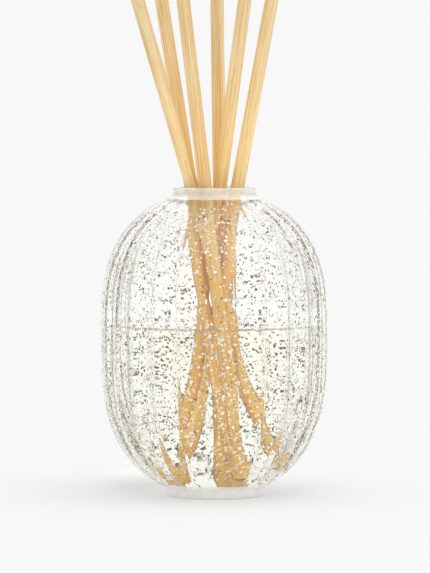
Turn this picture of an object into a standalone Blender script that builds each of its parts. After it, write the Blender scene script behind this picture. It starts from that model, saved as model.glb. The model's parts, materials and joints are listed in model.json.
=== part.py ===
"""Reed diffuser: a ribbed, blown clear-glass bottle with a short collar neck, half filled with
fragrance oil, and six rattan reeds that stand crossed in the neck.

Metres, +Z up, the front faces -Y. The origin is the centre of the flat underside of the foot.
Eight solids: glass_bottle, fragrance_oil and reed_1 to reed_6. The origin of each reed is the
centre of its lower end and its local Z is its own axis, along which it is drawn out of the neck.
"""

import math

import bmesh
import bpy
from mathutils import Matrix, Vector

MM = 0.001

# ---- driving dimensions, in millimetres ----
BOTTLE_H = 98.0          # foot to rim
CREST_R = 36.1           # widest radius, on the crest of a rib
RIB_COUNT = 24
RIB_DEPTH = 0.55         # crest to groove at the belly
RIB_GROOVE_DEG = 11.2    # one groove, from the front (-Y) towards +X

BELLY_Z = 52.26          # height of the widest ring
UP_H, UP_P, UP_Q = 45.128, 2.933, 1.947     # upper half of the egg shape
LOW_H, LOW_P, LOW_Q = 52.973, 3.222, 1.959  # lower half

NECK_R = 13.2            # outside of the collar
NECK_BORE_R = 10.7
SHOULDER_Z = 94.2        # the shoulder turns up into the collar between these two
COLLAR_Z = 96.2
FOOT_R = 16.1
FOOT_CONTACT_R = 14.6
FOOT_TOP_Z = 3.2

IN_R = 33.35             # inside of the belly, so the wall is 2.5 mm behind a crest
IN_UP_H = 42.6
FLOOR_Z = 5.5            # inside floor at the centre
IN_FLARE_Z = 91.8        # the cavity narrows into the bore between these two
IN_BORE_Z = 95.2

OIL_Z = 54.0             # liquid level
GAP = 0.3                # clearance between neighbouring solids

REED_R = 2.2
REED_L = 200.0
REED_CHAMFER = 0.25
REED_SIDES = 24
TABLE_TOP = 98.0         # heights at which the reed axes are given
TABLE_LOW = 10.0
SEGMENTS = 72            # three to each rib: the groove and both sides of the crest

# Axis of each reed: (x, y) at TABLE_TOP and (x, y) at TABLE_LOW.
REEDS = {
    "reed_1": ((-7.0, -3.8), (18.7, -1.9)),
    "reed_2": ((-7.5, 1.9), (6.4, -5.4)),
    "reed_3": ((-2.9, -7.5), (7.5, -11.0)),
    "reed_4": ((1.6, 7.9), (2.8, 8.4)),
    "reed_5": ((1.7, 0.0), (-9.9, 16.0)),
    "reed_6": ((7.3, 0.0), (-8.7, 7.4)),
}


def smooth(low, high, value):
    t = min(1.0, max(0.0, (value - low) / (high - low)))
    return t * t * (3.0 - 2.0 * t)


def egg(z, radius, up, low):
    """Radius of an egg-shaped surface of revolution at height z."""
    (height, p, q) = up if z >= BELLY_Z else low
    u = abs(z - BELLY_Z) / height
    return radius * max(0.0, 1.0 - u**p) ** (1.0 / q)


def outer_r(z):
    return egg(z, CREST_R, (UP_H, UP_P, UP_Q), (LOW_H, LOW_P, LOW_Q))


def inner_r(z, inset=0.0):
    return egg(
        z,
        IN_R - inset,
        (IN_UP_H - inset, UP_P, UP_Q),
        (BELLY_Z - FLOOR_Z - inset, LOW_P, LOW_Q),
    )


def curve(start, control, end, steps):
    """Points of a quadratic curve in (r, z), without its first point."""
    points = []
    for i in range(1, steps + 1):
        t = i / steps
        points.append(
            tuple(
                (1 - t) ** 2 * a + 2 * t * (1 - t) * b + t * t * c
                for a, b, c in zip(start, control, end)
            )
        )
    return points


def outer_profile():
    """(r, z, rib share) from the edge of the underside up to the rim."""
    points = [(FOOT_CONTACT_R, 0.0)]
    points += curve(points[0], (FOOT_R, 0.0), (FOOT_R, 1.5), 3)
    points.append((FOOT_R, FOOT_TOP_Z - 0.25))
    lower = (3.4, 4.6, 6.4, 8.9, 12.0, 16.0, 21.0, 27.5, 35.0, 43.5, 52.26)
    upper = (60.5, 68.0, 74.5, 80.0, 84.6, 88.4, 91.2, 93.0)
    points += [(outer_r(z), z) for z in lower + upper]
    shoulder = (outer_r(SHOULDER_Z), SHOULDER_Z)
    points.append(shoulder)
    points += curve(shoulder, (NECK_R + 0.1, SHOULDER_Z + 0.75), (NECK_R, COLLAR_Z), 3)
    points.append((NECK_R, BOTTLE_H - 0.9))
    points += curve(points[-1], (NECK_R, BOTTLE_H), (NECK_R - 0.95, BOTTLE_H), 2)
    return [
        (r, z, smooth(3.2, 7.0, z) * (1.0 - smooth(89.0, 94.0, z))) for r, z in points
    ]


def inner_profile():
    """(r, z, 0) from the rim down to the last ring of the floor."""
    points = [(NECK_BORE_R + 0.85, BOTTLE_H)]
    points += curve(points[0], (NECK_BORE_R, BOTTLE_H), (NECK_BORE_R, BOTTLE_H - 0.8), 2)
    bore = (NECK_BORE_R, IN_BORE_Z)
    points.append(bore)
    flare = (inner_r(IN_FLARE_Z), IN_FLARE_Z)
    points += curve(bore, (NECK_BORE_R + 0.2, 93.2), flare, 3)
    upper = (88.5, 83.5, 77.0, 68.5, 60.5, 52.26)
    lower = (43.5, 35.0, 27.5, 21.0, 16.0, 12.0, 9.4, 7.6, 6.4)
    points += [(inner_r(z), z) for z in upper + lower]
    return [(r, z, 0.0) for r, z in points]


def ring_point(radius, z, share, step):
    """Point of a ring of the bottle: the radius drops in each groove, less so on a narrower ring."""
    angle = math.radians(RIB_GROOVE_DEG) + 2 * math.pi * step / SEGMENTS
    depth = RIB_DEPTH * share * math.sqrt(min(1.0, radius / CREST_R))
    r = radius - (depth if step % (SEGMENTS // RIB_COUNT) == 0 else 0.0)
    return Vector((r * math.sin(angle), -r * math.cos(angle), z)) * MM


def revolve(name, profile, close_start, close_end):
    """Closed mesh round Z from (r, z, rib share) rings, with a fan to a centre point at each closed end."""
    bm = bmesh.new()
    rings = [
        [bm.verts.new(ring_point(r, z, share, s)) for s in range(SEGMENTS)]
        for r, z, share in profile
    ]
    for low, high in zip(rings, rings[1:]):
        for s in range(SEGMENTS):
            t = (s + 1) % SEGMENTS
            bm.faces.new((low[s], low[t], high[t], high[s]))
    for ring, z in ((rings[0], close_start), (rings[-1], close_end)):
        centre = bm.verts.new((0.0, 0.0, z * MM))
        for s in range(SEGMENTS):
            bm.faces.new((ring[s], ring[(s + 1) % SEGMENTS], centre))
    bmesh.ops.recalc_face_normals(bm, faces=bm.faces)
    return finish(name, bm)


def finish(name, bm, matrix=None):
    mesh = bpy.data.meshes.new(name)
    bm.to_mesh(mesh)
    bm.free()
    for polygon in mesh.polygons:
        polygon.use_smooth = True
    mesh.set_sharp_from_angle(angle=math.radians(35))
    obj = bpy.data.objects.new(name, mesh)
    if matrix is not None:
        obj.matrix_world = matrix
    bpy.context.collection.objects.link(obj)
    return obj


def rod(name, radius, length, chamfer, matrix):
    """Round rod along local Z from 0 to length, with a small chamfer at both ends."""
    bm = bmesh.new()
    profile = [(radius, 0.0), (radius, length)]
    if chamfer:
        profile = [
            (radius - chamfer, 0.0),
            (radius, chamfer),
            (radius, length - chamfer),
            (radius - chamfer, length),
        ]
    rings = []
    for r, z in profile:
        ring = []
        for s in range(REED_SIDES):
            a = 2 * math.pi * s / REED_SIDES
            ring.append(bm.verts.new(Vector((r * math.cos(a), r * math.sin(a), z)) * MM))
        rings.append(ring)
    for low, high in zip(rings, rings[1:]):
        for s in range(REED_SIDES):
            t = (s + 1) % REED_SIDES
            bm.faces.new((low[s], low[t], high[t], high[s]))
    bm.faces.new(rings[0])
    bm.faces.new(rings[-1])
    bmesh.ops.recalc_face_normals(bm, faces=bm.faces)
    return finish(name, bm, matrix)


def reed_axis(name):
    """(point on the axis at TABLE_TOP, unit direction up), in millimetres."""
    top, low = REEDS[name]
    high = Vector((top[0], top[1], TABLE_TOP))
    return high, (high - Vector((low[0], low[1], TABLE_LOW))).normalized()


def clear_of_floor(centre, direction):
    """Is the whole lower end at least GAP inside the cavity?"""
    side = direction.orthogonal().normalized()
    across = direction.cross(side)
    for s in range(REED_SIDES):
        a = 2 * math.pi * s / REED_SIDES
        p = centre + (side * math.cos(a) + across * math.sin(a)) * REED_R
        if p.z < FLOOR_Z + GAP or math.hypot(p.x, p.y) > inner_r(p.z, GAP + 0.1):
            return False
    return True


def reed_foot(name):
    """Centre of the lower end: the lowest point of the axis that stays clear of the glass."""
    high, direction = reed_axis(name)
    z = 30.0
    while z > FLOOR_Z and clear_of_floor(high + direction * ((z - 0.05 - TABLE_TOP) / direction.z), direction):
        z -= 0.05
    return high + direction * ((z - TABLE_TOP) / direction.z), direction


def along(start, direction):
    """Matrix that puts local Z along the direction, with its origin at the start."""
    turn = Vector((0.0, 0.0, 1.0)).rotation_difference(direction).to_matrix().to_4x4()
    return Matrix.Translation(start * MM) @ turn


def material(name, colour, roughness, ior, transmission):
    mat = bpy.data.materials.new(name)
    mat.use_nodes = True
    shader = mat.node_tree.nodes["Principled BSDF"]
    shader.inputs["Base Color"].default_value = (*colour, 1.0)
    shader.inputs["Roughness"].default_value = roughness
    shader.inputs["IOR"].default_value = ior
    shader.inputs["Transmission Weight"].default_value = transmission
    mat.diffuse_color = (*colour, 1.0 if transmission == 0 else 0.5)
    return mat


def build_bottle():
    bottle = revolve("glass_bottle", outer_profile() + inner_profile(), 0.0, FLOOR_Z)
    bottle.data.materials.append(material("clear_glass", (0.93, 0.96, 0.95), 0.03, 1.5, 1.0))


def build_oil():
    """The liquid: the cavity less a gap, up to the level, with a straight channel round each reed."""
    levels = (6.4, 7.6, 9.4, 12.0, 16.0, 21.0, 27.5, 35.0, 43.5, 52.26, OIL_Z)
    profile = [(inner_r(z, GAP), z, 0.0) for z in levels]
    oil = revolve("fragrance_oil", profile, FLOOR_Z + GAP, OIL_Z)
    oil.data.materials.append(material("fragrance_oil", (0.93, 0.91, 0.66), 0.02, 1.45, 1.0))
    for name in REEDS:
        foot, direction = reed_foot(name)
        start = foot - direction * 8.0
        cutter = rod(f"{name}_channel", REED_R + GAP, 90.0, 0.0, along(start, direction))
        cutter.hide_render = True
        cutter.display_type = "WIRE"
        cut = oil.modifiers.new(f"{name}_channel", "BOOLEAN")
        cut.operation = "DIFFERENCE"
        cut.solver = "EXACT"
        cut.object = cutter


def build_reeds():
    shades = (0.0, 0.02, -0.02, -0.03, 0.01, 0.03)
    for (name, _), shade in zip(REEDS.items(), shades):
        foot, direction = reed_foot(name)
        reed = rod(name, REED_R, REED_L, REED_CHAMFER, along(foot, direction))
        colour = (0.74 + shade, 0.50 + shade, 0.25 + shade)
        reed.data.materials.append(material(f"rattan_{name[-1]}", colour, 0.75, 1.45, 0.0))


for old in list(bpy.data.objects):
    bpy.data.objects.remove(old, do_unlink=True)
build_bottle()
build_oil()
build_reeds()
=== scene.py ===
import json
import math

import bpy
import numpy as np
from mathutils import Matrix, Vector, noise


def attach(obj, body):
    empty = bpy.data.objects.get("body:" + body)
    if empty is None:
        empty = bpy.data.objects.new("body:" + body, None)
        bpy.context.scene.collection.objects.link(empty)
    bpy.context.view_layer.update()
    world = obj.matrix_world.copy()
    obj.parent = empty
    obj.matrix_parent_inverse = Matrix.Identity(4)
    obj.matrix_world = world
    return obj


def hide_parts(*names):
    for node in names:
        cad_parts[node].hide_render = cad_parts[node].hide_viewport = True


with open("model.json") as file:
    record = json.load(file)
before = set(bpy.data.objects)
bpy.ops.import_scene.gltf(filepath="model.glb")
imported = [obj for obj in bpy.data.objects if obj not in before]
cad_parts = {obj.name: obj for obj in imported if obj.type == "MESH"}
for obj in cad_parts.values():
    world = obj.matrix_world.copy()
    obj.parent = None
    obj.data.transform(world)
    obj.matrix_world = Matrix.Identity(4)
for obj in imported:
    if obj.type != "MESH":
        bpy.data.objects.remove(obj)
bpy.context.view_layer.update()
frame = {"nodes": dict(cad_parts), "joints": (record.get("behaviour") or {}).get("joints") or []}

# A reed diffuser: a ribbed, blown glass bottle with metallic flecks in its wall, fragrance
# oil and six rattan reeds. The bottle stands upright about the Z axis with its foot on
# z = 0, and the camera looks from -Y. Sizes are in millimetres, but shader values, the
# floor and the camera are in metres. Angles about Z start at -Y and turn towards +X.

MM = 0.001
TAU = 2 * math.pi
scene = bpy.context.scene

# ---------------------------------------------------------------- sizes
BOTTLE_H, CREST_R = 98.0, 36.1
RIBS, RIB_DEPTH, RIB_INSIDE, GROOVE_DEG = 24, 0.38, 0.33, 11.2
BELLY_Z, BODY_TOP_Z = 52.26, 94.0
# the egg shape above and below the belly: height, power and root of its curve
UP_H, UP_POWER, UP_ROOT = 45.128, 2.933, 1.947
LOW_H, LOW_POWER, LOW_ROOT = 52.973, 3.222, 1.959
NECK_R, BORE_R = 13.2, 10.7
FOOT_R, CONTACT_R, UNDERSIDE_Z = 16.1, 14.6, 0.55
IN_R, IN_UP_H, IN_TOP_Z, FLOOR_Z = 33.35, 42.6, 91.7, 5.5
OIL_Z, MENISCUS, OIL_GAP = 54.0, 0.9, 0.03
BOTTLE_AROUND, OIL_AROUND = 384, 240


def unit(vector):
    vector = np.array(vector, float)
    return vector / np.linalg.norm(vector)


def smooth(start, end, value):
    t = np.clip((np.asarray(value, float) - start) / (end - start), 0, 1)
    return t * t * (3 - 2 * t)


# ---------------------------------------------------------------- profiles, as (radius, z)
def egg(z, radius, up_h, low_h):
    z = np.asarray(z, float)
    above = z >= BELLY_Z
    share = np.where(above, (z - BELLY_Z) / up_h, (BELLY_Z - z) / low_h)
    power = np.where(above, UP_POWER, LOW_POWER)
    root = np.where(above, UP_ROOT, LOW_ROOT)
    return radius * np.clip(1 - share**power, 0, None) ** (1 / root)


def outer_r(z):
    return egg(z, CREST_R, UP_H, LOW_H)


def inner_r(z):
    return egg(z, IN_R, IN_UP_H, BELLY_Z - FLOOR_Z)


def bezier(points, steps):
    """Bezier through control points, without its first point."""
    t = np.linspace(0, 1, steps + 1)[1:, None]
    pts = [np.repeat(np.array([p], float), steps, 0) for p in points]
    while len(pts) > 1:
        pts = [a * (1 - t) + b * t for a, b in zip(pts, pts[1:])]
    return pts[0]


def trace(start, *curves):
    """Line through Bezier curves, each given as (steps, control points after the last end)."""
    parts = [np.array([start], float)]
    for steps, *points in curves:
        parts.append(bezier([parts[-1][-1], *points], steps))
    return np.concatenate(parts)


def resample(line, spacing):
    """Points along a polyline, as far apart as spacing(radius, z) says."""
    seg = np.hypot(*(line[1:] - line[:-1]).T)
    at = np.concatenate([[0], np.cumsum(seg)])
    want = np.array([spacing(radius, z) for radius, z in line])
    weight = np.concatenate([[0], np.cumsum(seg * 2 / (want[1:] + want[:-1]))])
    count = max(2, int(math.ceil(weight[-1])))
    along = np.interp(np.linspace(0, weight[-1], count + 1), weight, at)
    return np.stack([np.interp(along, at, line[:, 0]), np.interp(along, at, line[:, 1])], 1)


def body_line(radius_of, z_start, z_end):
    """Fine line of an egg surface between two heights, close-set at its ends."""
    t = np.linspace(0, math.pi, 900)
    z = z_start + (z_end - z_start) * (1 - np.cos(t)) / 2
    return np.stack([radius_of(z), z], 1)


# ---------------------------------------------------------------- meshes
def new_object(name, verts, faces, smooth_faces=True):
    mesh = bpy.data.meshes.new(name)
    mesh.from_pydata([tuple(v) for v in verts], [], [tuple(f) for f in faces])
    if smooth_faces:
        mesh.polygons.foreach_set("use_smooth", [True] * len(mesh.polygons))
    mesh.update()
    obj = bpy.data.objects.new(name, mesh)
    scene.collection.objects.link(obj)
    return obj


def grid_faces(rows, around):
    """Quads of a tube of rows x around points, outward when the rows run up the outside."""
    row = np.arange(rows - 1)[:, None] * around
    here = np.arange(around)[None, :]
    after = (here + 1) % around
    corners = [row + here, row + after, row + around + after, row + around + here]
    return np.stack(corners, 2).reshape(-1, 4).tolist()


def spread(line, around):
    """Angle, radius and height of each point of a line turned about Z."""
    theta = np.linspace(0, TAU, around, endpoint=False)[None, :].repeat(len(line), 0)
    return theta, line[:, :1].repeat(around, 1), line[:, 1:].repeat(around, 1)


def revolved(name, theta, radius, z, first_z, last_z):
    """Turned surface whose first and last rows close on points of the axis."""
    rows, around = theta.shape
    verts = np.stack([radius * np.sin(theta), -radius * np.cos(theta), z], 2).reshape(-1, 3) * MM
    first, last = len(verts), (rows - 1) * around
    verts = np.concatenate([verts, [[0, 0, first_z * MM], [0, 0, last_z * MM]]])
    faces = grid_faces(rows, around)
    faces += [(i, first, (i + 1) % around) for i in range(around)]
    faces += [(last + i, last + (i + 1) % around, first + 1) for i in range(around)]
    return new_object(name, verts, faces)


def lobes(theta):
    """0 on a crest, 1 in a groove."""
    phase = (theta - math.radians(GROOVE_DEG)) * RIBS / 2
    ridge = np.sqrt(np.sin(phase) ** 2 + 0.004)
    return np.clip(1 - ridge**0.92, 0, 1)


def rib_drop(theta, z, radius, depth=RIB_DEPTH):
    """How far a surface lies inside its crest; the ribs fade out at the foot and shoulder."""
    share = smooth(2.6, 7.5, z) * (1 - smooth(88.5, 94.2, z))
    share = share * np.sqrt(np.clip(radius / CREST_R, 0, 1))
    return depth * share * lobes(theta)


def wobble(theta, z, scale, seed):
    """Slow unevenness of blown glass, about -1 to 1."""
    total = np.zeros_like(theta)
    rand = np.random.default_rng(seed)
    for _ in range(7):
        turns, rise = rand.integers(1, 5), rand.uniform(0.03, 0.16) * scale
        gain = rand.uniform(0.4, 1)
        total += gain * np.sin(turns * theta + rise * z * 2 + rand.uniform(0, 6.28))
    return total / 4


def uneven_share(z):
    """Where the glass is uneven: not at the heel nor at the shoulder."""
    return smooth(5, 16, z) * (1 - smooth(86, 93, z))


def cavity_swell(theta, z):
    return 0.09 * uneven_share(z) * wobble(theta, z, scale=0.9, seed=8)


# ---------------------------------------------------------------- node helpers
class Nodes:
    """Short way to write a node tree. A node stands for its first output."""

    def __init__(self, tree):
        self.tree = tree
        tree.nodes.clear()

    def add(self, kind, inputs=None, **settings):
        node = self.tree.nodes.new("ShaderNode" + kind)
        for key, value in settings.items():
            setattr(node, key, value)
        for key, value in (inputs or {}).items():
            self.set(node.inputs[key], value)
        return node

    def set(self, socket, value):
        if isinstance(value, bpy.types.Node):
            value = value.outputs[0]
        if isinstance(value, bpy.types.NodeSocket):
            self.tree.links.new(value, socket)
        elif socket.type == "RGBA":
            socket.default_value = (*value, 1)
        else:
            socket.default_value = value

    def math(self, operation, *values):
        return self.add("Math", dict(enumerate(values)), operation=operation).outputs[0]

    def times(self, a, b):
        return self.math("MULTIPLY", a, b)

    def ramp(self, value, span, to=(0.0, 1.0)):
        """Smooth step over a span of the value, onto the two ends of another."""
        inputs = dict(enumerate((value, *span, *to)))
        return self.add("MapRange", inputs, interpolation_type="SMOOTHSTEP").outputs[0]

    def mix(self, share, a, b, blend="MIX"):
        inputs = {0: share, 6: a, 7: b}
        return self.add("Mix", inputs, data_type="RGBA", blend_type=blend).outputs[2]

    def tint(self, colour, by):
        return self.mix(1.0, colour, by, "MULTIPLY")

    def steps(self, value, stops):
        """Hard-edged colour ramp: each stop is (position, linear colour)."""
        node = self.add("ValToRGB", {0: value})
        ramp = node.color_ramp
        ramp.interpolation = "CONSTANT"
        for i, (position, colour) in enumerate(stops):
            stop = ramp.elements[i] if i < 2 else ramp.elements.new(position)
            stop.position, stop.color = position, (*colour, 1)
        return node

    def coord(self, kind="Object"):
        return self.add("TexCoord").outputs[kind]

    def split(self, vector):
        return self.add("SeparateXYZ", {0: vector}).outputs

    def dot(self, a, b):
        return self.add("VectorMath", {0: a, 1: b}, operation="DOT_PRODUCT").outputs["Value"]

    def glass(self, colour, ior):
        return self.add("BsdfGlass", {"Color": colour, "Roughness": 0.0, "IOR": ior})

    def glow(self, strength):
        return self.add("Emission", {"Color": (1, 1, 1), "Strength": strength})

    def mix_shader(self, share, a, b):
        return self.add("MixShader", {0: share, 1: a, 2: b})

    def output(self, surface):
        return self.add("OutputMaterial", {0: surface})


def material(name):
    mat = bpy.data.materials.new(name)
    mat.use_nodes = True
    return mat, Nodes(mat.node_tree)


# ---------------------------------------------------------------- light of the room
# a bright lobe from the front right above, and four dark ones low around the bottle
KEY = unit([0.30, -0.42, 0.86])
KEY_GAIN, KEY_SHARP = 1.35, 10.0
FLAGS = [
    (math.sin(math.radians(a)), math.cos(math.radians(a)), 0.06) for a in (-62, 62, 118, -118)
]
FLAG_GAIN, FLAG_SHARP = 0.26, 16.0
# even level, what is added towards +Y, and what is added towards the top
BASE, BACK, TOP, TOP_POWER = 0.93, 0.10, 0.30, 1.5
WHITE = 0.9387  # what the camera sees as background
FLOOR_GLOW = 0.17
FLOOR_SIZE, FLOOR_SIDES, FLOOR_Z_M = 5.0, 48, -0.00002
# the shading of the floor fades with distance from here; y counts for less
SHADE_X, SHADE_Y, SHADE_Y_SCALE = -0.010, 0.012, 0.85
SHADE_SPAN, SHADE_SHARES = (0.028, 0.088), (0.55, 0.06)
# painted shadows and one painted pool of light on the floor, where the glass would shade and
# gather light: x, y, two radii, and gain
PAINTED_FLOOR_SHADE_AND_LIGHT = (
    (-0.0225, 0.036, 0.013, 0.026, -0.24),
    (0.0240, 0.024, 0.012, 0.026, -0.09),
    (-0.0270, 0.078, 0.008, 0.015, 0.075),
    (0.0, -0.030, 0.034, 0.010, -0.03),
)


def light_of(directions):
    """Brightness of the room in each unit direction, above the floor."""
    z = np.clip(directions[:, 2], 0, 1)
    total = BASE + BACK * directions[:, 1] + TOP * z**TOP_POWER
    total = total + KEY_GAIN * np.exp(KEY_SHARP * (directions @ KEY - 1))
    for flag in FLAGS:
        total = total - FLAG_GAIN * np.exp(FLAG_SHARP * (directions @ unit(flag) - 1))
    return total


def floor_light():
    """Light that falls on the floor, over pi, by summing the room over the upper half sphere."""
    cosines = (np.arange(200) + 0.5) / 200
    turns = (np.arange(400) + 0.5) / 400 * TAU
    up, turn = np.meshgrid(cosines, turns, indexing="ij")
    flat = np.sqrt(1 - up**2)
    directions = np.stack([flat * np.cos(turn), flat * np.sin(turn), up], -1).reshape(-1, 3)
    return float(np.mean(light_of(directions) * up.reshape(-1)) * 2)


def build_world():
    world = bpy.data.worlds.new("room")
    scene.world = world
    world.use_nodes = True
    net = Nodes(world.node_tree)
    coord = net.coord("Generated")
    _, y, z = net.split(coord)

    def lobe(direction, sharp, gain):
        cosine = net.dot(coord, Vector(direction).normalized())
        falloff = net.math("EXPONENT", net.times(net.math("SUBTRACT", cosine, 1.0), sharp))
        return net.times(falloff, gain)

    rise = net.math("POWER", net.math("MAXIMUM", z, 0.0), TOP_POWER)
    total = net.math("MULTIPLY_ADD", y, BACK, BASE)
    total = net.math("MULTIPLY_ADD", rise, TOP, total)
    total = net.math("ADD", total, lobe(KEY, KEY_SHARP, KEY_GAIN))
    for flag in FLAGS:
        total = net.math("SUBTRACT", total, lobe(flag, FLAG_SHARP, FLAG_GAIN))
    is_camera = net.add("LightPath").outputs["Is Camera Ray"]
    lighting = net.times(net.math("SUBTRACT", 1.0, is_camera), total)
    strength = net.math("ADD", net.times(is_camera, WHITE), lighting)
    background = net.add("Background", {"Color": (1, 1, 1), "Strength": strength})
    net.add("OutputWorld", {0: background})
    world.cycles.sampling_method = "MANUAL"
    world.cycles.sample_map_resolution = 512


def floor_paper():
    """Paper lit by the room; the camera sees it nearly even, with painted shadows and a painted
    pool of light near the bottle.
    """
    mat, net = material("floor_paper")
    albedo = WHITE / floor_light()
    diffuse = net.add("BsdfDiffuse", {"Color": (albedo, albedo, albedo)})
    lit = net.add("AddShader", {0: diffuse, 1: net.glow(FLOOR_GLOW)})
    x, y, _ = net.split(net.coord())
    from_x = net.math("POWER", net.math("ADD", x, -SHADE_X), 2.0)
    from_y = net.times(net.math("SUBTRACT", y, SHADE_Y), SHADE_Y_SCALE)
    away = net.math("SQRT", net.math("ADD", from_x, net.math("POWER", from_y, 2.0)))

    def squared(value, centre, radius):
        offset = net.math("SUBTRACT", value, centre)
        return net.math("POWER", net.math("DIVIDE", offset, radius), 2.0)

    # painted shadows and light: each patch darkens or lightens the even level the camera sees
    level = WHITE
    for patch_x, patch_y, radius_x, radius_y, gain in PAINTED_FLOOR_SHADE_AND_LIGHT:
        distance = net.math("ADD", squared(x, patch_x, radius_x), squared(y, patch_y, radius_y))
        painted_spot = net.math("EXPONENT", net.times(distance, -1.0))
        level = net.math("MULTIPLY_ADD", painted_spot, gain, level)
    seen = net.mix_shader(net.ramp(away, SHADE_SPAN, SHADE_SHARES), net.glow(level), diffuse)
    is_camera = net.add("LightPath").outputs["Is Camera Ray"]
    net.output(net.mix_shader(is_camera, lit, seen))
    return mat


def build_floor():
    turns = [TAU * i / FLOOR_SIDES for i in range(FLOOR_SIDES)]
    verts = [(0.0, 0.0, 0.0)]
    verts += [(FLOOR_SIZE * math.cos(t), FLOOR_SIZE * math.sin(t), 0.0) for t in turns]
    faces = [(0, 1 + i, 1 + (i + 1) % FLOOR_SIDES) for i in range(FLOOR_SIDES)]
    floor = new_object("floor_sheet", verts, faces, smooth_faces=False)
    floor.location.z = FLOOR_Z_M
    floor.data.materials.append(floor_paper())


# ---------------------------------------------------------------- glass
# against the oil, the glass is near index-matched in the thick heel and bends more above
GLASS_IOR, OIL_IOR, HEEL_OIL_IOR = 1.5, 1.05, 1.23


def outer_glass():
    """Outside of the bottle: clear, with painted shade in its grooves and a satin veil on the
    fire-polished collar and foot.
    """
    mat, net = material("bottle_glass_outer")
    coord = net.coord()
    x, y, z = net.split(coord)
    # painted shade: the glass's colour is darkened in the bottoms of the grooves where they are
    # seen at a slant
    geometry = net.add("NewGeometry").outputs
    angle = net.math("ARCTAN2", x, net.times(y, -1.0))
    turn = net.math("SUBTRACT", angle, math.radians(GROOVE_DEG))
    ridge = net.math("ABSOLUTE", net.math("SINE", net.times(turn, RIBS / 2)))
    slant = net.dot(geometry["True Normal"], geometry["Incoming"])
    groove = net.ramp(ridge, span=(0.02, 0.38), to=(1.0, 0.0))
    painted_shade = net.times(groove, net.ramp(slant, span=(0.70, 0.80), to=(1.0, 0.0)))
    above_heel = net.ramp(z, span=(0.014, 0.034))
    below_shoulder = net.ramp(z, span=(0.072, 0.088), to=(1.0, 0.0))
    painted_shade = net.times(painted_shade, net.times(above_heel, below_shoulder))
    painted_shade = net.times(painted_shade, net.math("SUBTRACT", 1.0, geometry["Backfacing"]))
    clear = net.glass(net.mix(painted_shade, (0.990, 0.990, 0.981), (0.70, 0.71, 0.69)), GLASS_IOR)
    # whiter at the foot, warmer at the collar
    height = net.ramp(z, span=(0.02, 0.08))
    veil_colour = net.mix(height, (0.99, 0.99, 0.98), (0.94, 0.91, 0.85))
    veil = net.add("BsdfDiffuse", {"Color": veil_colour})
    grain = net.add("TexNoise", {"Vector": coord, "Scale": 260.0, "Detail": 3.0})
    collar_grain = net.ramp(grain, span=(0.25, 0.75), to=(0.44, 0.56))
    foot_grain = net.ramp(grain, span=(0.25, 0.75), to=(0.72, 0.84))
    collar = net.times(net.ramp(z, span=(0.0942, 0.0945)), collar_grain)
    foot = net.times(net.ramp(z, span=(0.0040, 0.0046), to=(1.0, 0.0)), foot_grain)
    net.output(net.mix_shader(net.math("ADD", collar, foot), clear, veil))
    return mat


def inner_glass():
    """Glass against the air of the cavity."""
    mat, net = material("bottle_glass_inner")
    net.output(net.glass((0.990, 0.989, 0.981), GLASS_IOR))
    return mat


def wet_glass():
    """Glass against oil."""
    mat, net = material("bottle_glass_wet")
    z = net.split(net.coord())[2]
    iors = (GLASS_IOR / HEEL_OIL_IOR, GLASS_IOR / OIL_IOR)
    net.output(net.glass((0.984, 0.984, 0.966), net.ramp(z, span=(0.009, 0.026), to=iors)))
    return mat


def outside_line():
    """From under the foot up the outside to the top of the lip."""
    foot = trace(
        (0.6, UNDERSIDE_Z),
        (60, (6, UNDERSIDE_Z), (10.5, 0.5), (12.8, 0.12), (13.9, 0.0)),
        (4, (CONTACT_R, 0.0)),
        (24, (15.9, 0.05), (FOOT_R, 0.75), (FOOT_R, 1.6)),
        (6, (FOOT_R, 2.9)),
        (14, (FOOT_R, 3.25), (float(outer_r(3.45)), 3.45)),
    )
    body = body_line(outer_r, 3.5, BODY_TOP_Z)
    collar = trace(
        (float(outer_r(BODY_TOP_Z)), BODY_TOP_Z),
        (26, (14.1, 95.05), (13.35, 94.9), (NECK_R, 96.3)),
        (6, (NECK_R, 97.2)),
        (16, (NECK_R, BOTTLE_H), (12.4, BOTTLE_H)),
    )

    def spacing(_, z):
        if z > 93 or z < 4.5:
            return 0.22
        return 0.95 if 12 < z < 86 else 0.55

    return resample(np.concatenate([foot, body, collar[1:]]), spacing)


def inside_lines():
    """From the top of the lip down to the oil, and from there to the cavity's floor."""
    contact = OIL_Z + MENISCUS
    bore = trace(
        (12.4, BOTTLE_H),
        (1, (11.5, BOTTLE_H)),
        (14, (BORE_R, BOTTLE_H), (BORE_R, 97.2)),
        (8, (BORE_R, 95.2)),
        (24, (10.9, 93.2), (float(inner_r(91.8)), 91.8)),
    )
    dry = np.concatenate([bore, body_line(inner_r, IN_TOP_Z, contact)])
    dry = resample(dry, lambda _, z: 0.3 if z > 91 else 1.5)
    wet = body_line(inner_r, contact, 5.52)
    wet = resample(wet, lambda _, z: 1.5 if z > 14 else 0.9)
    return dry, wet


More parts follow.
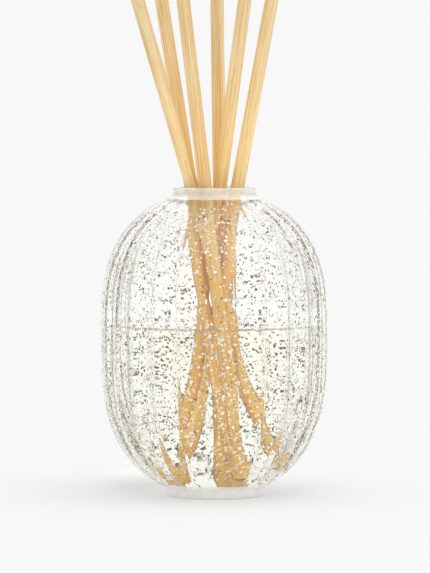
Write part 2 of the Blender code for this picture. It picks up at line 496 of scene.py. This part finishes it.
def build_bottle():
    outer = outside_line()
    dry, wet = inside_lines()
    line = np.concatenate([outer, dry[1:], wet[1:]])
    rows, n_outer, n_dry = len(line), len(outer), len(dry) - 1
    theta, radius, z = spread(line, BOTTLE_AROUND)
    is_outer = (np.arange(rows) < n_outer)[:, None]
    radius = radius - rib_drop(theta, z, radius, np.where(is_outer, RIB_DEPTH, RIB_INSIDE))
    outer_swell = -0.06 * uneven_share(z) * (1 + wobble(theta, z, scale=0.6, seed=5))
    radius = radius + np.where(is_outer, outer_swell, cavity_swell(theta, z))
    bottle = revolved("glass_bottle_blown", theta, radius, z, UNDERSIDE_Z, FLOOR_Z)
    for mat in (outer_glass(), inner_glass(), wet_glass()):
        bottle.data.materials.append(mat)
    row_slot = np.zeros(rows - 1, int)
    row_slot[n_outer - 1 :] = 1
    row_slot[n_outer - 1 + n_dry :] = 2
    end_slots = [np.zeros(BOTTLE_AROUND, int), np.full(BOTTLE_AROUND, 2)]
    slots = np.concatenate([np.repeat(row_slot, BOTTLE_AROUND), *end_slots])
    bottle.data.polygons.foreach_set("material_index", slots.astype(np.int32))
    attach(bottle, "bottle")
    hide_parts("glass_bottle")


# ---------------------------------------------------------------- oil
def oil_liquid():
    """Absorbing volume; its skin only shines on top and bends light in the meniscus."""
    mat, net = material("oil_liquid")
    x, y, height = net.split(net.coord())
    geometry = net.add("NewGeometry").outputs
    rise = net.math("ABSOLUTE", net.split(geometry["True Normal"])[2])
    near_top = net.math("GREATER_THAN", height, (OIL_Z - 0.1) * MM)
    is_top = net.times(net.math("GREATER_THAN", rise, 0.25), near_top)
    lip = net.ramp(height, span=((OIL_Z + 0.05) * MM, (OIL_Z + 0.25) * MM))
    flat = net.add("CombineXYZ", {0: x, 1: y})
    outward = net.add("VectorMath", {0: flat}, operation="NORMALIZE")
    near_side = net.ramp(net.dot(outward, geometry["Incoming"]), span=(-0.1, 0.25))
    lip = net.times(net.times(lip, is_top), near_side)
    bend = net.glass((0.88, 0.89, 0.77), ior=1.45)
    through = net.add("BsdfTransparent", {"Color": (1, 1, 1)})
    shine = net.add("BsdfGlossy", {"Color": (0.98, 0.98, 0.97), "Roughness": 0.02})
    fresnel = net.math("MINIMUM", net.add("Fresnel", {"IOR": 1.45}), 0.16)
    skin = net.mix_shader(net.times(is_top, fresnel), through, shine)
    absorb = net.add("VolumeAbsorption", {"Color": (0.72, 0.78, 0.36), "Density": 2.2})
    out = net.output(net.mix_shader(lip, skin, bend))
    net.set(out.inputs[1], absorb)
    return mat


def build_oil():
    top = OIL_Z + MENISCUS - 0.05
    low = body_line(lambda z: inner_r(z) - OIL_GAP, 5.6, top - 0.4)[2:]
    low = resample(low, lambda _, z: 1.5 if z > 14 else 0.8)
    wall = float(inner_r(OIL_Z)) - OIL_GAP
    from_wall = np.concatenate([np.linspace(0, 3.2, 16), [5, 9, 14, 20, 26, 31]])
    surface = [(wall - d, OIL_Z + MENISCUS * math.exp(-d / 0.75)) for d in from_wall]
    theta, radius, z = spread(np.concatenate([low, np.array(surface)]), OIL_AROUND)
    # beside the wall the oil follows the cavity's ribs and unevenness
    cavity = np.maximum(inner_r(np.clip(z, 5.6, 90)), np.maximum(radius, 1.0))
    relief = cavity_swell(theta, z) - rib_drop(theta, z, radius, RIB_INSIDE)
    radius = radius + relief * smooth(0.80, 0.98, radius / cavity)
    oil = revolved("fragrance_oil_fill", theta, radius, z, 5.56, OIL_Z)
    oil.data.materials.append(oil_liquid())
    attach(oil, "bottle")
    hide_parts("fragrance_oil")


# ---------------------------------------------------------------- flecks
# tones of the flakes' outward sides, painted lighter as if lit, and inward sides, painted darker
# as if in shade: start of each step, linear colour
SILVER_OUT_PAINTED_LIT = (
    (0.0, (1.0, 0.995, 0.98)), (0.55, (0.96, 0.93, 0.85)),
    (0.80, (0.78, 0.74, 0.64)), (0.92, (0.60, 0.58, 0.52)),
)
SILVER_IN_PAINTED_SHADE = (
    (0.0, (0.55, 0.53, 0.45)), (0.25, (0.41, 0.39, 0.31)), (0.50, (0.30, 0.26, 0.18)),
    (0.72, (0.47, 0.47, 0.44)), (0.90, (0.62, 0.56, 0.43)),
)
OLIVE_OUT_PAINTED_LIT = (
    (0.0, (0.06, 0.05, 0.028)), (0.04, (0.20, 0.17, 0.095)), (0.14, (0.38, 0.30, 0.18)),
    (0.25, (0.44, 0.43, 0.36)), (0.40, (0.66, 0.62, 0.50)), (0.58, (0.94, 0.91, 0.83)),
)
OLIVE_IN_PAINTED_SHADE = (
    (0.0, (0.09, 0.075, 0.045)), (0.18, (0.20, 0.17, 0.10)), (0.42, (0.33, 0.26, 0.16)),
    (0.60, (0.31, 0.30, 0.23)), (0.80, (0.43, 0.39, 0.27)), (0.93, (0.38, 0.39, 0.38)),
)
FLECK_NECK_Z = 93.9  # from here up, flecks follow the neck and not the body


def fleck_material(name, outside, inside, metallic, roughness):
    mat, net = material(name)
    geometry = net.add("NewGeometry").outputs
    island = geometry["Random Per Island"]
    x, y, z = net.split(net.coord())
    # from a point inside the bottle at z = 0.045, flattened in height
    rise = net.times(net.math("SUBTRACT", z, 0.045), 0.6)
    radial = net.add("CombineXYZ", {0: x, 1: y, 2: rise})
    outward = net.math("GREATER_THAN", net.dot(geometry["True Normal"], radial), 0.0)
    # painted light and shade: sides facing out of the bottle take the lit tones, sides facing in
    # the shaded ones; the silver and olive hues are the flakes' own
    colour = net.mix(outward, net.steps(island, inside), net.steps(island, outside))
    # painted glow: the outward sides also emit a little of their colour
    net.output(net.add("BsdfPrincipled", {
        "Base Color": colour,
        "Metallic": metallic,
        "Roughness": roughness,
        "Emission Color": colour,
        "Emission Strength": net.times(outward, 0.30),
    }))
    mat.cycles.emission_sampling = "NONE"
    return mat


def fleck_heights():
    """Heights, and the share of flecks lying below each."""
    zs = np.linspace(5.0, 97.0, 2000)
    body = np.maximum(outer_r(np.minimum(zs, BODY_TOP_Z)), NECK_R)
    radius = np.where(zs < FLECK_NECK_Z, body, NECK_R)
    slope = np.gradient(radius, zs)
    density = radius * np.sqrt(1 + np.minimum(slope**2, 9))
    density = density * (0.62 + 0.38 * (1 - smooth(50, 57, zs)))
    density = density * (1 - 0.9 * smooth(91, 94.5, zs)) * smooth(5.5, 9.0, zs)
    share = np.cumsum(density)
    return zs, share / share[-1]


def fleck_place(z, theta, rand):
    """Centre and normal of a flake within the wall, or None where there is no room."""
    on_body = z < FLECK_NECK_Z
    radius, slope, step = NECK_R, 0.0, 0.2
    if on_body:
        radius = float(outer_r(z))
        slope = float(outer_r(z + step) - outer_r(z - step)) / (2 * step)
    out, up = unit([1.0, -slope])
    groove = float(rib_drop(np.array([theta]), np.array([z]), np.array([radius]))[0])
    depth = rand.uniform(1.25, 2.15) if on_body else rand.uniform(0.7, 1.8)
    radius, height = radius - out * depth - groove, z - up * depth
    if height < 4.0 or radius < 2:
        return None
    if z > 14:
        limit = BORE_R + 0.3
        if height < IN_TOP_Z:
            limit = float(inner_r(height)) - groove * RIB_INSIDE / RIB_DEPTH + 0.26
        radius = max(radius, limit)
    sine, cosine = math.sin(theta), math.cos(theta)
    centre = np.array([radius * sine, -radius * cosine, height])
    normal = np.array([out * sine, -out * cosine, up])
    return centre, unit(normal + rand.normal(0, 0.20, 3))


def flake_outline(low_size, high_size, rand):
    """Uneven polygon of 4 to 7 corners about the origin."""
    middle = math.log((low_size * high_size) ** 0.5)
    size = min(high_size, max(low_size, math.exp(rand.normal(middle, 0.33)))) / 2
    count = int(rand.integers(4, 8))
    angles = np.sort(rand.uniform(0, TAU, count)) * 0.35
    angles = angles + np.arange(count) * TAU / count * 0.65 + rand.uniform(0, 6.28)
    stretch, turn = rand.uniform(0.55, 1.0), rand.uniform(0, math.pi)
    radii = size * rand.uniform(0.6, 1.15, count)
    x, y = radii * np.cos(angles), radii * np.sin(angles) * stretch
    cosine, sine = math.cos(turn), math.sin(turn)
    return x * cosine - y * sine, x * sine + y * cosine


def build_flecks(name, count, low_size, high_size, mat, seed):
    """Thin broken flakes lying in the glass between its outer clear skin and the cavity."""
    rand = np.random.default_rng(seed)
    zs, share = fleck_heights()
    verts, faces = [], []
    made = 0
    while made < count:
        z = float(np.interp(rand.random(), share, zs))
        theta = rand.uniform(0, TAU)
        where = Vector((math.sin(theta) * 4.0, math.cos(theta) * 4.0, z * 0.11))
        clump = noise.noise(where) * 0.5 + 0.5
        if rand.random() > 0.45 + 0.9 * clump:
            continue
        place = fleck_place(z, theta, rand)
        if place is None:
            continue
        centre, normal = place
        side = unit(np.cross(normal, [0.31, 0.2, 0.93]))
        x, y = flake_outline(low_size, high_size, rand)
        flat = centre + x[:, None] * side + y[:, None] * np.cross(normal, side)
        half = normal * rand.uniform(0.018, 0.035)
        base, corners = len(verts), len(x)
        verts += list((flat + half) * MM) + list((flat - half) * MM)
        faces.append(tuple(base + i for i in range(corners)))
        faces.append(tuple(base + corners + i for i in reversed(range(corners))))
        for i in range(corners):
            here, after = base + i, base + (i + 1) % corners
            faces.append((here, here + corners, after + corners, after))
        made += 1
    flecks = new_object(name, verts, faces, smooth_faces=False)
    flecks.data.materials.append(mat)
    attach(flecks, "bottle")


# ---------------------------------------------------------------- reeds
REED_R, REED_AROUND, REED_ROWS = 2.2, 96, 110
# sideways bow in the upper and the lower half of the bottle, tone of the cane (partly its own,
# partly painted light and shade), and the painted tint of light just above the rim (painted shade
# on the third cane)
REEDS = (
    ((-0.75, -2.1), 0.95, (1.20, 1.18, 1.06)),
    ((-2.0, -0.9), 1.0, (1.18, 1.13, 0.98)),
    ((0.0, 0.0), 0.96, (1.08, 0.95, 0.76)),
    ((1.4, -0.6), 0.96, (1.18, 1.13, 0.98)),
    ((-0.85, 0.5), 1.01, (1.18, 1.12, 0.92)),
    ((1.4, 1.2), 1.02, (1.17, 1.15, 1.04)),
)
# rounded edge of a cane's end: height from the end, share of the radius
REED_RIM = [(0.0, 0.55), (0.0, 0.9), (0.04, 0.955), (0.12, 0.985), (0.25, 0.999)]
RIM_INSET = 1.2


def rattan(number, tone, rim_painted_tint):
    """Rattan cane: long fibres, open pores, darker and glossier where the oil has wicked up, with
    painted light and shade in and just above the bottle.
    """
    mat, net = material("rattan_%d" % number)
    coord = net.coord()
    shift = (number * 0.37, number * 0.11, number * 0.05)
    moved = net.add("VectorMath", {0: coord, 1: shift}, operation="ADD")
    z = net.split(coord)[2]
    long = net.add("Mapping", {"Vector": moved, "Scale": (1.0, 1.0, 0.018)})
    fibre = net.add(
        "TexNoise", {"Vector": long, "Scale": 2600.0, "Detail": 3.0, "Roughness": 0.6}
    )
    band = net.add("TexNoise", {"Vector": long, "Scale": 700.0, "Detail": 2.0})
    pores = net.add("Mapping", {"Vector": moved, "Scale": (1.0, 1.0, 0.06)})
    pore = net.add("TexVoronoi", {"Vector": pores, "Scale": 1900.0})
    blotch = net.add("TexNoise", {"Vector": moved, "Scale": 55.0, "Detail": 3.0})
    # the tone scales all the cane's colours; it is partly the cane's own and partly painted light
    # and shade
    deep, pale, streak = (
        tuple(channel * tone for channel in colour)
        for colour in ((0.66, 0.43, 0.180), (0.86, 0.68, 0.385), (0.90, 0.76, 0.50))
    )
    colour = net.mix(net.ramp(fibre, span=(0.30, 0.68)), deep, pale)
    colour = net.mix(net.ramp(band, span=(0.42, 0.72), to=(0.0, 0.38)), colour, streak)
    pore_share = net.ramp(pore, span=(0.10, 0.24), to=(0.45, 0.0))
    colour = net.mix(pore_share, colour, (0.34, 0.18, 0.06))
    colour = net.mix(net.ramp(blotch, span=(0.35, 0.7), to=(0.0, 0.22)), colour, deep)
    # the blotches make the edge of the damp part uneven
    edge = net.math("MULTIPLY_ADD", net.math("SUBTRACT", blotch, 0.5), 0.03, z)
    damp = net.ramp(edge, span=(0.062, 0.090), to=(1.0, 0.0))
    colour = net.mix(damp, colour, net.tint(colour, by=(1.03, 0.90, 0.62)))
    # painted light: inside the glass the canes are painted brighter, as if the glass gathered
    # light on them, and just above its rim each gets a painted tint of light
    height = net.split(net.add("NewGeometry").outputs["Position"])[2]
    inside = net.ramp(height, span=(0.0925, 0.0945), to=(1.0, 0.0))
    near_rim = net.ramp(height, span=(0.100, 0.150), to=(1.0, 0.0))
    above = net.times(net.math("SUBTRACT", 1.0, inside), near_rim)
    # painted light just above the rim, and painted shade on the third cane
    rim_painted_light = net.tint(colour, by=rim_painted_tint)
    inside_painted_light = net.tint(colour, by=(1.29, 1.19, 0.92))
    # painted shade: the canes' flanks in the bottle, turned away from view, are painted darker, so
    # canes side by side part in a darker line
    flank = net.add("LayerWeight", {"Blend": 0.5}).outputs["Facing"]
    painted_shade = net.tint(inside_painted_light, by=(0.66, 0.54, 0.40))
    # painted light: lower in the bottle the painted light is paler and cooler
    low = net.ramp(height, span=(0.012, 0.060), to=(1.0, 0.0))
    lit = net.mix(low, inside_painted_light, net.tint(inside_painted_light, by=(1.14, 1.18, 1.26)))
    inside_painted_light = net.mix(net.ramp(flank, span=(0.26, 0.80)), lit, painted_shade)
    colour = net.mix(above, net.mix(inside, colour, inside_painted_light), rim_painted_light)
    bump = net.add("Bump", {"Strength": 0.45, "Distance": 0.00012, "Height": fibre})
    roughness = net.ramp(damp, span=(0, 1), to=(0.72, 0.45))
    net.output(net.add(
        "BsdfPrincipled", {"Base Color": colour, "Roughness": roughness, "Normal": bump}
    ))
    return mat


def build_reed(index, bows, tone, rim_painted_tint):
    """A cane with long shallow flutes, a slight bow and rounded edges at its cut ends."""
    node = "reed_%d" % (index + 1)
    points = np.array([v.co for v in frame["nodes"][node].data.vertices], float)
    axis = unit([j["axis"] for j in frame["joints"] if j["name"] == node + "_slide"][0])
    along = points @ axis
    low_end = points[along < along.min() + 2e-5].mean(0)
    length = (along.max() - along.min()) / MM
    foot_z = low_end[2] / MM
    rand = np.random.default_rng(900 + index)
    theta = np.linspace(0, TAU, REED_AROUND, endpoint=False)
    flute = sum(
        rand.uniform(0.3, 1) * np.cos(k * theta + rand.uniform(0, 6.28))
        for k in (7, 11, 16, 23, 31)
    ) / 3.2
    fine = rand.uniform(-1, 1, REED_AROUND)
    turn = Vector((0, 0, 1)).rotation_difference(Vector(axis)).to_matrix()
    side = np.array(turn.transposed() @ Vector((1, 0, 0)))
    stations = REED_RIM + [(h, 1.0) for h in np.linspace(RIM_INSET, length - RIM_INSET, REED_ROWS)]
    stations += [(length - h, share) for h, share in reversed(REED_RIM)]
    verts = []
    for height, share in stations:
        # 0 at the bottle's top, 1 at the cane's foot
        run = (BOTTLE_H - foot_z - height * axis[2]) / (BOTTLE_H - foot_z)
        bow = sum(
            reach * math.sin(math.pi * min(max((run - start) / 0.64, 0), 1)) ** 2
            for start, reach in zip((0.0, 0.36), bows)
        )
        slow = 0.018 * math.sin(height * 0.045 + index)
        slow += 0.012 * math.sin(height * 0.13 + 2 * index)
        twisted = theta + 0.0012 * height * (1 if index % 2 else -1)
        groove = np.interp(twisted % TAU, theta, flute, period=TAU)
        radius = (REED_R - 0.05 - 0.02 + slow * 0.6 + 0.034 * groove + 0.012 * fine) * share
        level = np.full(REED_AROUND, height)
        ring = np.stack([radius * np.cos(theta), radius * np.sin(theta), level], 1)
        verts.append(ring + side * bow)
    rows = len(verts)
    verts = np.concatenate(verts + [np.array([[0, 0, 0.0], [0, 0, length]])]) * MM
    first, last = rows * REED_AROUND, (rows - 1) * REED_AROUND
    faces = grid_faces(rows, REED_AROUND)
    nexts = [(i, (i + 1) % REED_AROUND) for i in range(REED_AROUND)]
    faces += [(after, i, first) for i, after in nexts]
    faces += [(last + i, last + after, first + 1) for i, after in nexts]
    reed = new_object(node + "_cane", verts, faces)
    reed.matrix_world = Matrix.Translation(Vector(low_end)) @ turn.to_4x4()
    reed.data.materials.append(rattan(index + 1, tone, rim_painted_tint))
    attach(reed, node + "_body")
    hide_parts(node)


# ---------------------------------------------------------------- camera
CAMERA_DISTANCE, CAMERA_Z, CAMERA_DOWN_DEG = 1.50, 0.143, 2.91
# the lens is scaled from this length and distance, to keep the size of the view
LENS_FAR, DISTANCE_FAR = 433.5, 2.185


def build_camera():
    cam = bpy.data.cameras.new("camera")
    cam.sensor_fit = "AUTO"
    cam.sensor_width = 36.0
    cam.lens = LENS_FAR * CAMERA_DISTANCE / DISTANCE_FAR
    cam.clip_start, cam.clip_end = 0.05, 50.0
    cam.shift_x, cam.shift_y = 0.00087260035, -0.0017452007
    obj = bpy.data.objects.new("camera", cam)
    obj.location = (0.0, -CAMERA_DISTANCE, CAMERA_Z)
    obj.rotation_euler = (math.radians(90 - CAMERA_DOWN_DEG), 0, 0)
    scene.collection.objects.link(obj)
    scene.camera = obj


def render_settings():
    view = scene.view_settings
    view.view_transform = "Standard"
    view.look = "None"
    view.exposure = 0.0
    view.gamma = 1.0
    cycles = scene.cycles
    cycles.max_bounces = 28
    cycles.diffuse_bounces = 4
    cycles.glossy_bounces = 10
    cycles.transmission_bounces = 28
    cycles.transparent_max_bounces = 48
    cycles.volume_bounces = 0
    cycles.caustics_reflective = True
    cycles.caustics_refractive = True
    cycles.blur_glossy = 0.3
    cycles.sample_clamp_indirect = 6.0


build_world()
build_floor()
build_bottle()
build_oil()
silver = fleck_material("fleck_silver", SILVER_OUT_PAINTED_LIT, SILVER_IN_PAINTED_SHADE, metallic=0.0, roughness=0.32)
olive = fleck_material("fleck_olive", OLIVE_OUT_PAINTED_LIT, OLIVE_IN_PAINTED_SHADE, metallic=0.1, roughness=0.42)
build_flecks("flecks_silver", 5600, low_size=0.45, high_size=1.15, mat=silver, seed=41)
build_flecks("flecks_olive", 8800, low_size=0.44, high_size=1.30, mat=olive, seed=42)
for index, reed_values in enumerate(REEDS):
    build_reed(index, *reed_values)
build_camera()
render_settings()
